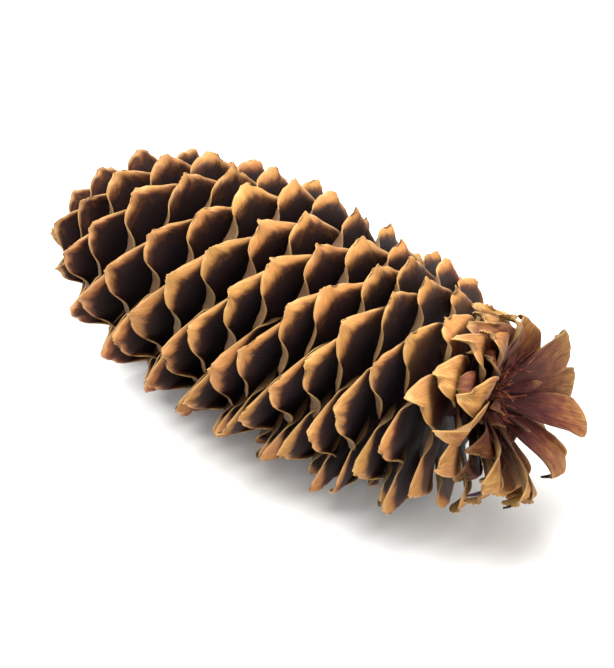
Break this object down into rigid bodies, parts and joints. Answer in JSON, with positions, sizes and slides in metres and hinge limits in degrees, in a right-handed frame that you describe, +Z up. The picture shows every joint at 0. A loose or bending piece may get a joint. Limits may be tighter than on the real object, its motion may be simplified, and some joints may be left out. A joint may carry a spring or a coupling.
{
  "type": "spruce cone",
  "caption": "Open, dry spruce cone lying on its side, with pointed woody scales set in spirals round a bowed spindle and a fan of bent-back scales at the broken stalk.",
  "frame": {"origin": "middle of the bounding box, on the ground that the cone lies on", "axes": "+X along the cone towards the broken stalk, -X towards the tip of the cone, +Z up from the ground"},
  "size_m": [0.1512, 0.0712, 0.0686],
  "materials": {
    "dry_cone_wood": "dry matt wood, a little glossy on the scale faces"
  },
  "bodies": {
    "root": {"spruce_cone": "dry_cone_wood"}
  },
  "joints": []
}
